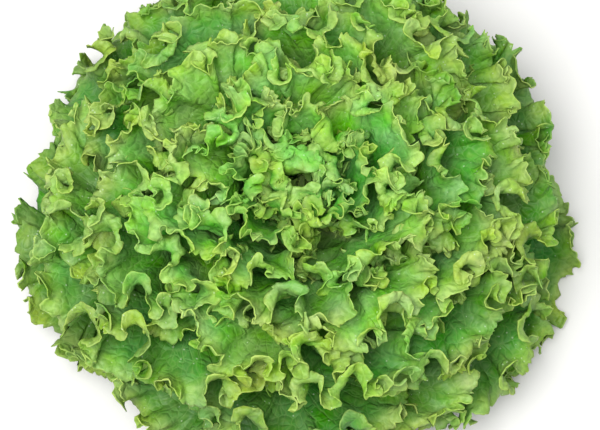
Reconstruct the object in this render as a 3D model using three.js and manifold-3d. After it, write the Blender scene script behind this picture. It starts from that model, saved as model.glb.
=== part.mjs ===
// Curly green leaf lettuce, one head, cut through the stem just above the soil and set down the way it grew.
// Millimetres, +Z up. The origin is the centre of the cut face of the stem, on the surface that the head rests on.
//
// The head is a stem, forty-four loose leaves on it in a spiral, and a heart of twelve crowded young leaves on top.
// Every leaf is a thin waved blade. Its shape is worked out in three coordinates that suit a head of leaves:
// turn, the angle round the stem; along, from 0 at the stem to about 1 at the leaf's tip; and layer, from 0 for
// the lowest leaf to 1 for the innermost. Each layer is a bowl that nests in the one below it, so leaves whose
// layers don't meet can't cross. A leaf that would reach into the leaf below it is lifted until it lies on it.

import * as THREE from "three";
import Module from "manifold-3d";
import { mergeVertices } from "three/addons/utils/BufferGeometryUtils.js";

const wasm = await Module();
wasm.setup();

const { clamp, lerp, smoothstep, degToRad: degrees } = THREE.MathUtils;
const between = ([low, high], share) => lerp(low, high, share);

// Driving sizes of the head.
const HEAD_RADIUS = 150;
const RIM_HEIGHT = 9;
const DOME_HEIGHT = 120;
const HEART_DIP = 14;
const STEM_RADIUS = 17;
const STEM_TOP_RADIUS = 6;
const STEM_SHOULDER = 6;
const STEM_HEIGHT = 52;
const STEM_CLEARANCE = 0.8;
const BUD_HEIGHTS = [54, 66];

// How the leaves stand. The layers run from 0 to TOP_LAYER for the loose leaves, then over HEART_LAYERS.
const LEAF_COUNT = 44;
const GOLDEN_TURN = 137.508;
const TOP_LAYER = 0.82;
const HEART_TIERS = 4;
const TIER_LEAVES = 3;
const HEART_LAYERS = [0.87, 0.965];
const LAYER_LIMITS = [-0.03, 0.995];

// Driving sizes of the leaves. Where there are two, they are for the lowest and for the innermost leaf.
const LEAF_REACH = 145;
const HALF_WIDTH = [76, 36];
const HEART_HALF_WIDTH = 30;
const PETIOLE_HALF_WIDTH = [12, 5];
const PETIOLE_THICKNESS = [1.4, 0.8];
const BLADE_THICKNESS = 0.8;
const WIDEST_TURN = [85, 72];
const HEART_WIDEST_TURN = 54;
const FRILL_LENGTH = [25, 15];
const SWELL_LENGTH = [74, 48];
const FRILL_HEIGHT = [11, 7.5];
const HEART_FRILL_LENGTH = 22;
const HEART_FRILL_HEIGHT = 2.4;
const LEAF_GAP = 0.6;
const SIDE_GAP = 1;
const SEED = 7;

const LEAF_GREEN = new THREE.Color(0.3, 0.56, 0.13);
const HEART_GREEN = new THREE.Color(0.47, 0.68, 0.22);
const STEM_CREAM = new THREE.Color(0.83, 0.86, 0.68);

// A small repeatable source of random numbers.
function makeRandom(seed) {
  let state = seed;
  const next = () => {
    state = (state * 16807) % 2147483647;
    return state / 2147483647;
  };
  for (let warmUp = 0; warmUp < 5; warmUp++) next();
  return (low, high) => lerp(low, high, next());
}

// The bowl of one layer, cut through the axis: radius and height at a place along it. It is a quadratic curve from
// the stem to the dome's surface that leaves the stem flat for the lowest layer and upright for the innermost. The
// feet of the heart's layers draw together on the bud.
function bowl(along, anyLayer) {
  const layer = clamp(anyLayer, ...LAYER_LIMITS);
  const share = Math.max(layer, 0);
  const onBud = smoothstep(layer, TOP_LAYER, HEART_LAYERS[0]);
  const rootRadius = lerp(STEM_RADIUS, STEM_TOP_RADIUS, layer) - 4 * onBud;
  const rootHeight = lerp(STEM_SHOULDER, STEM_HEIGHT, layer) + 7.5 * onBud;
  const quarter = (share * Math.PI) / 2;
  const tipRadius = HEAD_RADIUS * Math.cos(quarter) ** 0.85;
  const dome = DOME_HEIGHT * Math.sin(quarter) ** 0.95;
  const sunk = HEART_DIP * smoothstep(share, 0.8, 1);
  const tipHeight = RIM_HEIGHT + dome - sunk + Math.min(layer, 0) * 200;
  const rise = degrees(8 + 62 * share ** 1.9);
  const handle = 0.55 * Math.hypot(tipRadius - rootRadius, tipHeight - rootHeight);
  const root = (1 - along) ** 2;
  const middle = 2 * along * (1 - along);
  const tip = along ** 2;
  return {
    radius: root * rootRadius + middle * (rootRadius + handle * Math.cos(rise)) + tip * tipRadius,
    height: root * rootHeight + middle * (rootHeight + handle * Math.sin(rise)) + tip * tipHeight,
  };
}

function toSpace({ turn, along, layer }) {
  const { radius, height } = bowl(along, layer);
  return new THREE.Vector3(radius * Math.cos(turn), radius * Math.sin(turn), height);
}

// The place of a point in space, in turn, along and layer, worked out from a place close to it. room is how much
// layer one millimetre takes up there, square to the bowl.
function placeOf(point, near) {
  const step = 0.01;
  const layer = clamp(near.layer, LAYER_LIMITS[0], LAYER_LIMITS[1] - step);
  const here = bowl(near.along, layer);
  const onward = bowl(near.along + step, layer);
  const inward = bowl(near.along, layer + step);
  const run = [(onward.radius - here.radius) / step, (onward.height - here.height) / step];
  const move = [(inward.radius - here.radius) / step, (inward.height - here.height) / step];
  const area = run[0] * move[1] - run[1] * move[0];
  const off = [Math.hypot(point.x, point.y) - here.radius, point.z - here.height];
  return {
    turn: Math.atan2(point.y, point.x),
    along: near.along + (off[0] * move[1] - off[1] * move[0]) / area,
    layer: layer + (run[0] * off[1] - run[1] * off[0]) / area,
    room: Math.hypot(...run) / Math.abs(area),
  };
}

// The traits of one loose leaf: where it stands in the spiral, how large it is and how it is waved.
function planLeaf(index) {
  const draw = makeRandom(SEED * 1000 + index * 37 + 11);
  const layer = TOP_LAYER * (index / (LEAF_COUNT - 1)) ** 0.8;
  return finishLeaf({
    layer,
    turn: degrees(GOLDEN_TURN * index + draw(-9, 9)),
    tip: draw(0.97, 1.05) - 0.04 * layer,
    halfWidth: between(HALF_WIDTH, layer ** 1.6) * draw(0.9, 1.12),
    widest: degrees(between(WIDEST_TURN, layer)),
    roll: draw(-0.02, 0.02),
    sweep: degrees(draw(-10, 10)),
    frillLength: between(FRILL_LENGTH, layer) * draw(0.9, 1.12),
    swellLength: between(SWELL_LENGTH, layer) * draw(0.85, 1.15),
    frillHeight: between(FRILL_HEIGHT, layer) * draw(0.85, 1.15),
    phases: Array.from({ length: 6 }, () => draw(0, 2 * Math.PI)),
  });
}

// The same for a leaf of the heart. These stand in tiers, and the leaves of a tier meet edge to edge.
function planHeartLeaf(index) {
  const draw = makeRandom(SEED * 1000 + (LEAF_COUNT + index) * 37 + 11);
  const tier = Math.floor(index / TIER_LEAVES);
  return finishLeaf({
    layer: between(HEART_LAYERS, tier / (HEART_TIERS - 1)),
    turn: degrees(360 * ((index % TIER_LEAVES) + tier / 2) / TIER_LEAVES + 7 * tier),
    tip: draw(0.92, 1),
    halfWidth: HEART_HALF_WIDTH * draw(0.9, 1.1),
    widest: degrees(HEART_WIDEST_TURN),
    roll: 0,
    sweep: 0,
    frillLength: HEART_FRILL_LENGTH * draw(0.95, 1.2),
    swellLength: SWELL_LENGTH[1] * 0.85,
    frillHeight: HEART_FRILL_HEIGHT,
    phases: Array.from({ length: 6 }, () => draw(0, 2 * Math.PI)),
  });
}

function finishLeaf(leaf) {
  leaf.petiole = between(PETIOLE_HALF_WIDTH, leaf.layer);
  leaf.petioleThickness = between(PETIOLE_THICKNESS, leaf.layer);
  leaf.rim = rimLengths(leaf);
  return leaf;
}

// A blade is a fan of rays from the midrib to its rim. A ray is named by side: -1 at the left foot of the blade, 0 at
// its tip, 1 at the right foot, and past 1 down the petiole. out goes from 0 on the midrib to 1 on the rim. The
// lower rays start further down the midrib.
const PETIOLE_END = 1.2;
const BLADE_START = 0.1;
const FAN_CENTRE = 0.62;

function flatPoint(leaf, side, out) {
  const reach = Math.abs(side);
  if (reach > 1) {
    const left = (PETIOLE_END - reach) / (PETIOLE_END - 1);
    return { along: BLADE_START * left, across: Math.sign(side) * leaf.petiole * out * lerp(0.8, 1, left) };
  }
  const [up, sideways] = [Math.cos(side * Math.PI), Math.abs(Math.sin(side * Math.PI))];
  const rimAlong = FAN_CENTRE + (up > 0 ? up ** 0.75 * (leaf.tip - FAN_CENTRE) : up * (FAN_CENTRE - BLADE_START));
  const blade = leaf.halfWidth * sideways ** (up > 0 ? 0.8 : 1.7);
  const rimAcross = Math.sign(side) * (blade + (leaf.petiole * (1 - up)) / 2);
  const ribAlong = lerp(BLADE_START, FAN_CENTRE, (1 - reach) ** 0.8);
  return { along: lerp(ribAlong, rimAlong, out), across: rimAcross * out };
}

// Lengths along the flat rim from its left foot, at even steps of side.
function rimLengths(leaf) {
  const steps = 200;
  const lengths = [0];
  for (let i = 1; i <= steps; i++) {
    const before = flatPoint(leaf, (2 * (i - 1)) / steps - 1, 1);
    const here = flatPoint(leaf, (2 * i) / steps - 1, 1);
    const step = Math.hypot((here.along - before.along) * LEAF_REACH, here.across - before.across);
    lengths.push(lengths[i - 1] + step);
  }
  return lengths;
}

function rimLength(leaf, side) {
  const place = ((clamp(side, -1, 1) + 1) / 2) * (leaf.rim.length - 1);
  const low = Math.min(Math.floor(place), leaf.rim.length - 2);
  return lerp(leaf.rim[low], leaf.rim[low + 1], place - low);
}

// The waves run along the rim: short frills on long swells. Their spacing wanders, so no two are alike.
const wave = (length, period, phase) => Math.sin((2 * Math.PI * length) / period + phase);

function frillPhase({ frillLength, phases }, length) {
  const wander = 1.5 * wave(length, 130, phases[1]) + wave(length, 51, phases[2]);
  return (2 * Math.PI * length) / frillLength + phases[0] + wander;
}

function swellPhase({ swellLength, phases }, length) {
  return (2 * Math.PI * length) / swellLength + phases[4] + 0.9 * wave(length, 170, phases[5]);
}

// A point of a leaf's blade, in turn, along and layer, before it is lifted off the leaves below. TIP_SPACING is how
// many millimetres one layer measures at the tips.
const TIP_SPACING = [185, 300];

function bladePoint(leaf, side, out) {
  const flat = flatPoint(leaf, side, out);
  const length = rimLength(leaf, side);
  const free = leaf.frillHeight * (1 - smoothstep(Math.abs(side), 0.38, 0.7));
  const outer = clamp((out - 0.42) / 0.58, 0, 1);
  const swell = 0.85 * free * clamp((out - 0.12) / 0.88, 0, 1) ** 1.2;
  const frill = 0.72 * free * outer ** 1.35 * (0.85 + 0.35 * wave(length, 87, leaf.phases[3]));
  const lift = -swell * Math.cos(swellPhase(leaf, length)) - frill * Math.cos(frillPhase(leaf, length));
  const along = flat.along - (0.35 * Math.abs(lift) * outer) / LEAF_REACH;
  const rolled = leaf.roll * (flat.across / 60) * smoothstep(along, 0.1, 0.6);
  const waved = lift / (between(TIP_SPACING, leaf.layer) * clamp(along, 0.15, 1.2));
  const layer = Math.max(leaf.layer + rolled + waved, LAYER_LIMITS[0]);
  const spread = flat.across / Math.max(bowl(along, layer).radius, STEM_TOP_RADIUS);
  const turn = leaf.widest * Math.tanh(spread / leaf.widest) + leaf.sweep * along ** 2;
  return { turn, along, layer };
}

// The rays where the rim is sampled: at every quarter wave of the frill over the showing part of a loose leaf's rim,
// at every half wave elsewhere, and a few on the foot and the petiole.
const WAVED_SIDE = 0.8;
const SHOWING_SIDE = 0.42;
const CLOSEST_RAYS = 0.012;

function rimSides(leaf) {
  const quarterAt = (side) => Math.floor(frillPhase(leaf, rimLength(leaf, side)) / (Math.PI / 2));
  const sides = [-PETIOLE_END, -1, -0.88];
  const steps = 2000;
  let before = quarterAt(-WAVED_SIDE);
  for (let i = 1; i <= steps; i++) {
    const side = lerp(-WAVED_SIDE, WAVED_SIDE, i / steps);
    const quarter = quarterAt(side);
    const wanted = (Math.abs(side) < SHOWING_SIDE && leaf.layer <= TOP_LAYER) || quarter % 2 === 0;
    if (quarter !== before && wanted && side - sides[sides.length - 1] > CLOSEST_RAYS) sides.push(side);
    before = quarter;
  }
  sides.push(0.88, 1, PETIOLE_END);
  return sides;
}

const RIB_SIDES = [PETIOLE_END, 1, 0.8, 0.6, 0.42, 0.25, 0.1];
const MIDDLE_SIDES = [PETIOLE_END, 1, 0.82, 0.68, 0.56, 0.45, 0.35, 0.25, 0.15, 0.05];

// The triangles of a band between two rows of vertices, each row given as sides in rising order and vertex numbers.
function bandTriangles(inner, outer) {
  const triangles = [];
  let i = 0;
  let o = 0;
  while (i < inner.length - 1 || o < outer.length - 1) {
    const innerNext = i < inner.length - 1 ? inner[i + 1].side : Infinity;
    const outerNext = o < outer.length - 1 ? outer[o + 1].side : Infinity;
    if (innerNext <= outerNext) {
      if (inner[i].vertex !== inner[i + 1].vertex)
        triangles.push([inner[i].vertex, outer[o].vertex, inner[i + 1].vertex]);
      i++;
    } else {
      triangles.push([inner[i].vertex, outer[o].vertex, outer[o + 1].vertex]);
      o++;
    }
  }
  return triangles;
}

// The flat net of a leaf: its points as side and out, its triangles, and its outline as a ring of points.
function leafNet(leaf) {
  const points = [];
  const add = (side, out) => ({ side, vertex: points.push({ side, out }) - 1 });
  const right = RIB_SIDES.map((side) => add(side, 0));
  const rib = [...right.map(({ side, vertex }) => ({ side: -side, vertex })), ...[...right].reverse()];
  const middleSides = [...MIDDLE_SIDES.map((side) => -side), ...[...MIDDLE_SIDES].reverse()];
  const middle = middleSides.map((side) => add(side, 0.5));
  const rim = rimSides(leaf).map((side) => add(side, 1));
  const triangles = [...bandTriangles(rib, middle), ...bandTriangles(middle, rim)];
  const outline = [...rim, middle[middle.length - 1], rib[0], middle[0]].map(({ vertex }) => vertex);
  return { points, triangles, outline };
}

// What the leaves so far have taken up: for each direction and each place along the bowls, the highest layer.
const TURN_CELLS = 240;
const ALONG_CELLS = 60;
const ALONG_END = 1.2;
const NOTHING = -1;
const LIFT_ROUNDS = 8;
const SETTLED = 1e-4;
const taken = new Float64Array(TURN_CELLS * ALONG_CELLS).fill(NOTHING);

const columnOf = (turn) => (turn / (2 * Math.PI)) * TURN_CELLS;
const rowOf = (along) => (along / ALONG_END) * ALONG_CELLS;

function cellAt(column, row) {
  const wrapped = ((Math.floor(column) % TURN_CELLS) + TURN_CELLS) % TURN_CELLS;
  return wrapped * ALONG_CELLS + clamp(Math.floor(row), 0, ALONG_CELLS - 1);
}

function highestNear(turn, along, reach) {
  let highest = NOTHING;
  for (let shift = -reach; shift <= reach; shift++)
    for (const rowShift of [-0.5, 0.5])
      highest = Math.max(highest, taken[cellAt(columnOf(turn) + shift, rowOf(along) + rowShift)]);
  return highest;
}

// The places of spots spread over a flat triangle, at least one in each cell that it covers, with the share that each
// corner has in a spot.
function spotsOver(corners) {
  const points = corners.map(toSpace);
  const span = (key) => Math.max(...corners.map((c) => c[key])) - Math.min(...corners.map((c) => c[key]));
  const steps = Math.ceil(Math.max(columnOf(span("turn")), rowOf(span("along")), 1) * 1.2);
  const mix = (items, key, shares) => shares.reduce((sum, share, k) => sum + share * items[k][key], 0);
  const spots = [];
  for (let a = 0; a <= steps; a++)
    for (let b = 0; b <= steps - a; b++) {
      const shares = [a / steps, b / steps, (steps - a - b) / steps];
      const point = { x: mix(points, "x", shares), y: mix(points, "y", shares), z: mix(points, "z", shares) };
      const near = { along: mix(corners, "along", shares), layer: mix(corners, "layer", shares) };
      spots.push({ shares, ...placeOf(point, near) });
    }
  return spots;
}

// Lifts a leaf until every spot of it clears the leaves below.
function layOnHead(leaf, places, triangles, thickness) {
  for (let round = 0; round < LIFT_ROUNDS; round++) {
    const lifts = new Array(places.length).fill(0);
    for (const triangle of triangles) {
      const corners = triangle.map((v) => places[v]);
      const needed = Math.max(...triangle.map((v) => thickness[v])) + LEAF_GAP;
      const radius = Math.min(...corners.map(({ along, layer }) => bowl(along, layer).radius));
      const reach = Math.ceil(columnOf(SIDE_GAP / radius));
      for (const { shares, turn, along, layer, room } of spotsOver(corners)) {
        const floor = highestNear(turn + leaf.turn, along, reach);
        if (floor === NOTHING) continue;
        const short = floor + needed * room - layer;
        if (short <= 0) continue;
        const lever = shares[0] ** 2 + shares[1] ** 2 + shares[2] ** 2;
        triangle.forEach((v, k) => (lifts[v] = Math.max(lifts[v], (short * shares[k]) / lever)));
      }
    }
    if (Math.max(...lifts) < SETTLED) break;
    places.forEach((place, v) => (place.layer += lifts[v]));
  }
}

// Marks the room that a leaf takes.
function markTaken(leaf, places, triangles) {
  for (const triangle of triangles)
    for (const { turn, along, layer } of spotsOver(triangle.map((v) => places[v]))) {
      const cell = cellAt(columnOf(turn + leaf.turn), rowOf(along));
      taken[cell] = Math.max(taken[cell], layer);
    }
}

// A closed blade: the net's points moved half a thickness to each side, the two faces alike, and a wall round it.
function bladeGeometry(spots, triangles, outline, thickness) {
  const normals = spots.map(() => new THREE.Vector3());
  for (const [a, b, c] of triangles) {
    const edge = new THREE.Vector3().subVectors(spots[c], spots[a]);
    const face = new THREE.Vector3().subVectors(spots[b], spots[a]).cross(edge);
    for (const v of [a, b, c]) normals[v].add(face);
  }
  const count = spots.length;
  const positions = [];
  for (const half of [0.5, -0.5])
    spots.forEach((spot, v) => {
      const moved = normals[v].clone().normalize().multiplyScalar(half * thickness[v]).add(spot);
      positions.push(moved.x, moved.y, moved.z);
    });
  const index = [];
  for (const [a, b, c] of triangles) index.push(a, b, c, a + count, c + count, b + count);
  outline.forEach((a, k) => {
    const b = outline[(k + 1) % outline.length];
    index.push(a, a + count, b, b, a + count, b + count);
  });
  const geometry = new THREE.BufferGeometry();
  geometry.setAttribute("position", new THREE.Float32BufferAttribute(positions, 3));
  geometry.setIndex(index);
  return geometry;
}

// One leaf, pointing along +X. It is thickest on the midrib at its foot.
function leafGeometry(leaf) {
  const { points, triangles, outline } = leafNet(leaf);
  const places = points.map(({ side, out }) => bladePoint(leaf, side, out));
  const thickness = points.map(({ out }, v) => {
    const foot = 1 - smoothstep(places[v].along, 0, 0.45);
    return lerp(BLADE_THICKNESS, leaf.petioleThickness, foot * (1 - 0.6 * out));
  });
  layOnHead(leaf, places, triangles, thickness);
  markTaken(leaf, places, triangles);
  return bladeGeometry(places.map(toSpace), triangles, outline, thickness);
}

function turnedGeometry(profile, segments) {
  const points = profile.map(([radius, height]) => new THREE.Vector2(radius, height));
  return new THREE.LatheGeometry(points, segments).rotateX(Math.PI / 2);
}

// The stem: a stump cut flat below, narrowing upwards inside the feet of the leaves.
function stemGeometry() {
  return turnedGeometry([
    [0, 0],
    [STEM_RADIUS - 1.5, 0],
    [STEM_RADIUS - 0.3, 1.2],
    [STEM_RADIUS, STEM_SHOULDER * 0.6],
    [STEM_RADIUS - STEM_CLEARANCE, STEM_SHOULDER],
    [STEM_TOP_RADIUS - STEM_CLEARANCE, STEM_HEIGHT],
    [0, STEM_HEIGHT + 1.5],
  ], 32);
}

// The heart: the young leaves in the middle, grown together at the foot with a bud.
function heartGeometry() {
  const budRadius = STEM_TOP_RADIUS - STEM_CLEARANCE;
  let heart = toSolid(turnedGeometry([
    [0, BUD_HEIGHTS[0]],
    [budRadius, BUD_HEIGHTS[0]],
    [budRadius, lerp(...BUD_HEIGHTS, 0.4)],
    [0, BUD_HEIGHTS[1]],
  ], 20));
  for (let index = 0; index < HEART_TIERS * TIER_LEAVES; index++) {
    const leaf = planHeartLeaf(index);
    heart = heart.add(toSolid(leafGeometry(leaf).rotateZ(leaf.turn)));
  }
  return fromSolid(heart);
}

function toSolid(geometry) {
  for (const name of ["normal", "uv"]) geometry.deleteAttribute(name);
  const merged = mergeVertices(geometry, 1e-4);
  const triVerts = [];
  for (let i = 0; i < merged.index.count; i += 3) {
    const [a, b, c] = [0, 1, 2].map((k) => merged.index.getX(i + k));
    if (a !== b && b !== c && c !== a) triVerts.push(a, b, c);
  }
  const vertProperties = new Float32Array(merged.attributes.position.array);
  return new wasm.Manifold(new wasm.Mesh({ numProp: 3, vertProperties, triVerts: new Uint32Array(triVerts) }));
}

function fromSolid(solid) {
  const { vertProperties, triVerts } = solid.getMesh();
  const geometry = new THREE.BufferGeometry();
  geometry.setAttribute("position", new THREE.BufferAttribute(vertProperties, 3));
  geometry.setIndex(new THREE.BufferAttribute(triVerts, 1));
  return geometry;
}

const head = new THREE.Group();

function addNode(name, geometry, color, roughness) {
  const mesh = new THREE.Mesh(geometry, new THREE.MeshStandardMaterial({ color, roughness, metalness: 0 }));
  mesh.name = name;
  head.add(mesh);
  return mesh;
}

addNode("stem", stemGeometry(), STEM_CREAM, 0.6);
for (let index = 0; index < LEAF_COUNT; index++) {
  const leaf = planLeaf(index);
  const name = `leaf_${String(index + 1).padStart(2, "0")}`;
  addNode(name, leafGeometry(leaf), LEAF_GREEN, 0.5).rotation.z = leaf.turn;
}
addNode("heart", heartGeometry(), HEART_GREEN, 0.5);

export default head;
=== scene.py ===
"""One head of curly green leaf lettuce, modelled leaf by leaf over its CAD frame.

The leaves are worked out in the CAD source's own coordinates, in millimetres: turn, the angle round the
stem; along, from 0 at the stem to about 1 at the leaf's tip; and layer, from 0 for the lowest leaf to 1 for
the innermost. The same plan and the same stacking give each leaf its form. Here its rim gets the curls,
ruffles, lobes and teeth that are too fine for the solids.
"""

import math

import bmesh
import bpy
import numpy as np
from bpy.props import FloatProperty, FloatVectorProperty, PointerProperty
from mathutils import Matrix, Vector


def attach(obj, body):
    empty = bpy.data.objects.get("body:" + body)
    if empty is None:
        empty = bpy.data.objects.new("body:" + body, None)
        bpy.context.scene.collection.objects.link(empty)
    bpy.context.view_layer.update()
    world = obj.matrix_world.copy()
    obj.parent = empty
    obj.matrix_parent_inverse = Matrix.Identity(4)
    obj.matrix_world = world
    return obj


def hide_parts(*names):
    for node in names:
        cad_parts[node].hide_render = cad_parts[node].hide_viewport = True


bl_info = {
    "name": "Curly Leaf Lettuce",
    "version": (1, 0, 0),
    "blender": (4, 5, 0),
    "location": "3D View > Sidebar > Lettuce",
    "description": "Builds one head of curly green leaf lettuce over its CAD frame",
    "category": "Add Mesh",
}

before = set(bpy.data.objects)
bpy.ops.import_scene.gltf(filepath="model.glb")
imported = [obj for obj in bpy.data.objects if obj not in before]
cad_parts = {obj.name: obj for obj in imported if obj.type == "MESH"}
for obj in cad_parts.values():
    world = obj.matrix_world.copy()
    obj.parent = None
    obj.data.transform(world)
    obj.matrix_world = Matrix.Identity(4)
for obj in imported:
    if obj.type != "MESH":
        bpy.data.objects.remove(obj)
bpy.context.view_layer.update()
MM = 0.001

# Driving sizes of the head, as in the CAD source.
HEAD_RADIUS = 150
RIM_HEIGHT = 9
DOME_HEIGHT = 120
HEART_DIP = 14
STEM_RADIUS = 17
STEM_TOP_RADIUS = 6
STEM_SHOULDER = 6
STEM_HEIGHT = 52
STEM_CLEARANCE = 0.8

# How the bowls run that the leaves lie on: their angle at the stem in degrees, lowest and innermost, and how
# far it holds. The heart's are rooted further in and higher, and dip. Layers below 0 drop to the floor.
BOWL_RISE = (8, 70)
BOWL_HANDLE = 0.55
BUD_INSET = 4
BUD_RISE = 7.5
DIP_START = 0.8
FLOOR_DROP = 200

# How the leaves stand.
LEAF_COUNT = 44
GOLDEN_TURN = 137.508
TOP_LAYER = 0.82
HEART_TIERS = 4
TIER_LEAVES = 3
HEART_LAYERS = (0.87, 0.965)
LAYER_LIMITS = (-0.03, 0.995)

# Driving sizes of the leaves. Where there are two, they are for the lowest and for the innermost leaf.
LEAF_REACH = 145
HALF_WIDTH = (76, 36)
HEART_HALF_WIDTH = 30
PETIOLE_HALF_WIDTH = (12, 5)
PETIOLE_THICKNESS = (1.4, 0.8)
BLADE_THICKNESS = 0.8
WIDEST_TURN = (85, 72)
HEART_WIDEST_TURN = 54
FRILL_LENGTH = (25, 15)
HEART_FRILL_LENGTH = 22
SWELL_LENGTH = (74, 48)
FRILL_HEIGHT = (11, 7.5)
HEART_FRILL_HEIGHT = 2.4
TIP_SPACING = (185, 300)
SEED = 7
# How far waves pull the rim in, as a share of their height, and the gaps above and beside a leaf.
PULL_IN = 0.35
LEAF_GAP = 0.6
SIDE_GAP = 1

# Places on a leaf. Side runs along its rim, 0 at the tip, 1 at the blade's foot and PETIOLE_END at the stem.
# Out runs from 0 on the midrib to 1 on the rim.
PETIOLE_END = 1.2
BLADE_START = 0.1
FAN_CENTRE = 0.62
MIDDLE_OUT = 0.5
RIM_STEPS = 200

# Waves that only the scene has, on the heart's leaves and, compared with the frill, on the others.
HEART_RUFFLE_HEIGHT = 8.5
HEART_FOLD_LENGTH = 15
HEART_RUFFLE_LENGTH = 6
FOLD_SHARE = 1.7
RUFFLES_PER_FRILL = 2.6


def clamp(value, low, high):
    return np.clip(value, low, high)


def lerp(low, high, share):
    return low + (high - low) * share


def between(pair, share):
    return lerp(pair[0], pair[1], share)


def smoothstep(value, low, high):
    share = np.clip((value - low) / (high - low), 0, 1)
    return share * share * (3 - 2 * share)


def phase_at(length, period, start):
    return 2 * math.pi * length / period + start


def wave(length, period, start):
    return np.sin(phase_at(length, period, start))


def fading(side, sides):
    """1 round the tip, easing to 0 between the two given sides."""
    return 1 - smoothstep(np.abs(side), *sides)


class Random:
    """A small repeatable source of random numbers, the same as the CAD source's."""

    def __init__(self, seed):
        self.state = seed
        for _ in range(5):
            self.step()

    def step(self):
        self.state = (self.state * 16807) % 2147483647
        return self.state / 2147483647

    def __call__(self, low, high):
        return lerp(low, high, self.step())


def bowl(along, any_layer):
    """Radius and height of a layer's bowl, cut through the axis."""
    layer = clamp(any_layer, *LAYER_LIMITS)
    share = np.maximum(layer, 0)
    on_bud = smoothstep(layer, TOP_LAYER, HEART_LAYERS[0])
    root_radius = lerp(STEM_RADIUS, STEM_TOP_RADIUS, layer) - BUD_INSET * on_bud
    root_height = lerp(STEM_SHOULDER, STEM_HEIGHT, layer) + BUD_RISE * on_bud
    quarter = share * math.pi / 2
    tip_radius = HEAD_RADIUS * np.cos(quarter) ** 0.85
    dome = DOME_HEIGHT * np.sin(quarter) ** 0.95
    sunk = HEART_DIP * smoothstep(share, DIP_START, 1)
    tip_height = RIM_HEIGHT + dome - sunk + np.minimum(layer, 0) * FLOOR_DROP
    rise = np.radians(between(BOWL_RISE, share**1.9))
    handle = BOWL_HANDLE * np.hypot(tip_radius - root_radius, tip_height - root_height)
    root, middle, tip = (1 - along) ** 2, 2 * along * (1 - along), along**2
    radius = root * root_radius + middle * (root_radius + handle * np.cos(rise)) + tip * tip_radius
    height = root * root_height + middle * (root_height + handle * np.sin(rise)) + tip * tip_height
    return radius, height


def to_space(turn, along, layer):
    radius, height = bowl(along, layer)
    return np.stack([radius * np.cos(turn), radius * np.sin(turn), height], -1)


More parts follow.
